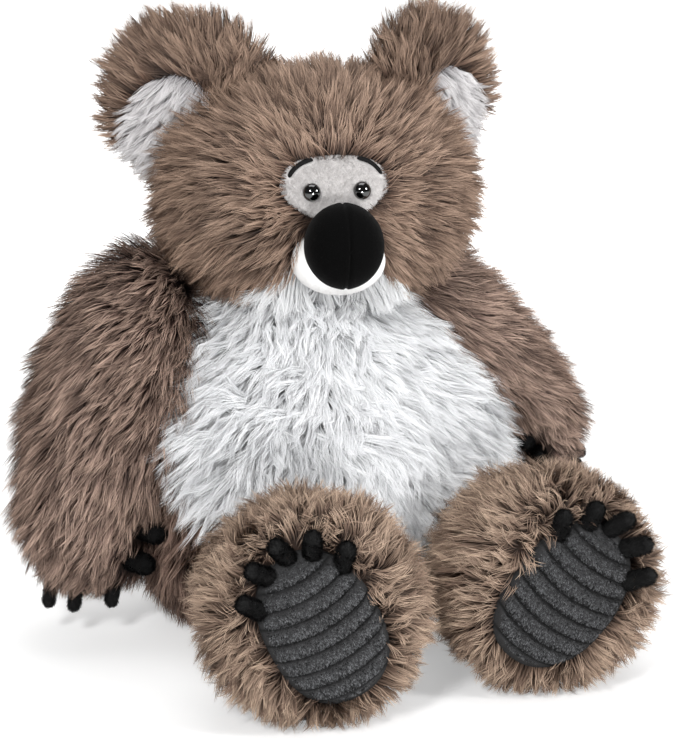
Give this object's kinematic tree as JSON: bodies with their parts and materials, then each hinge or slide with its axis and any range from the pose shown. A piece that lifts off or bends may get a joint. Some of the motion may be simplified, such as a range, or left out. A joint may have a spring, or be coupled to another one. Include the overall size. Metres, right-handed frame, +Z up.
{
  "type": "plush koala",
  "caption": "Seated plush koala: long-pile stuffed body with turning head, swinging arms, lifting legs, flopping ears, padded nose, ribbed soles and short-pile claws.",
  "frame": {"origin": "centre of the flat seat, on the surface that the toy sits on", "axes": "+Z up, the toy looks along -Y, its left side is +X"},
  "size_m": [0.4417, 0.367, 0.4141],
  "materials": {
    "brown_fur": "taupe brown long pile faux fur, matte, lighter tips",
    "white_fur": "white long pile faux fur, matte",
    "grey_short_pile": "light grey short pile plush, matte",
    "white_fleece": "smooth white fleece",
    "black_short_pile": "black short pile plush, matte",
    "charcoal_ribbed_pile": "charcoal short pile plush with ribs across it",
    "black_felt": "thin black felt",
    "calico": "plain woven cotton",
    "eye_gloss": "polished black plastic",
    "washer_plastic": "plain moulded plastic"
  },
  "bodies": {
    "trunk": {"torso": "brown_fur", "belly_panel": "white_fur", "seat_panel": "brown_fur", "pellet_bag": "calico"},
    "head": {"head": "brown_fur", "face_patch": "grey_short_pile", "muzzle": "white_fleece", "nose": "black_short_pile", "chin_panel": "white_fur", "eye_left": "eye_gloss", "eye_washer_left": "washer_plastic", "brow_left": "black_felt", "eye_right": "eye_gloss", "eye_washer_right": "washer_plastic", "brow_right": "black_felt"},
    "ear_left": {"ear_left": "brown_fur", "ear_lining_left": "white_fur"},
    "arm_left": {"arm_left": "brown_fur", "claw_left_1": "black_short_pile", "claw_left_2": "black_short_pile", "claw_left_3": "black_short_pile", "claw_left_4": "black_short_pile", "claw_left_5": "black_short_pile"},
    "leg_left": {"leg_left": "brown_fur", "foot_left": "brown_fur", "sole_pad_left": "charcoal_ribbed_pile", "toe_left_1": "black_short_pile", "toe_left_2": "black_short_pile", "toe_left_3": "black_short_pile", "toe_left_4": "black_short_pile", "toe_left_5": "black_short_pile"},
    "ear_right": {"ear_right": "brown_fur", "ear_lining_right": "white_fur"},
    "arm_right": {"arm_right": "brown_fur", "claw_right_1": "black_short_pile", "claw_right_2": "black_short_pile", "claw_right_3": "black_short_pile", "claw_right_4": "black_short_pile", "claw_right_5": "black_short_pile"},
    "leg_right": {"leg_right": "brown_fur", "foot_right": "brown_fur", "sole_pad_right": "charcoal_ribbed_pile", "toe_right_1": "black_short_pile", "toe_right_2": "black_short_pile", "toe_right_3": "black_short_pile", "toe_right_4": "black_short_pile", "toe_right_5": "black_short_pile"}
  },
  "joints": [
    {"name": "neck_turn", "type": "hinge", "parent": "trunk", "child": "head", "pos_m": [0, -0.014, 0.299], "axis": [0, 0, 1], "range_deg": [-30, 30], "stiffness_Nm_per_rad": 0.5},
    {"name": "shoulder_left", "type": "hinge", "parent": "trunk", "child": "arm_left", "pos_m": [0.066, 0.004, 0.205], "axis": [-0.766, 0, -0.6428], "range_deg": [-20, 40], "stiffness_Nm_per_rad": 0.8},
    {"name": "shoulder_right", "type": "hinge", "parent": "trunk", "child": "arm_right", "pos_m": [-0.085, 0.004, 0.205], "axis": [-0.9636, 0, 0.2672], "range_deg": [-20, 40], "stiffness_Nm_per_rad": 0.8},
    {"name": "hip_left", "type": "hinge", "parent": "trunk", "child": "leg_left", "pos_m": [0.064, -0.062, 0.062], "axis": [1, 0, 0], "range_deg": [-30, 0], "stiffness_Nm_per_rad": 1.2},
    {"name": "hip_right", "type": "hinge", "parent": "trunk", "child": "leg_right", "pos_m": [-0.064, -0.062, 0.062], "axis": [1, 0, 0], "range_deg": [-30, 0], "stiffness_Nm_per_rad": 1.2},
    {"name": "ear_flop_left", "type": "hinge", "parent": "head", "child": "ear_left", "pos_m": [0.06938, -0.02163, 0.33891], "axis": [0.6427, 0.349, -0.682], "range_deg": [-12, 12], "stiffness_Nm_per_rad": 0.3},
    {"name": "ear_flop_right", "type": "hinge", "parent": "head", "child": "ear_right", "pos_m": [-0.06412, 0.0089, 0.33891], "axis": [-0.5879, 0.435, -0.682], "range_deg": [-12, 12], "stiffness_Nm_per_rad": 0.3}
  ]
}
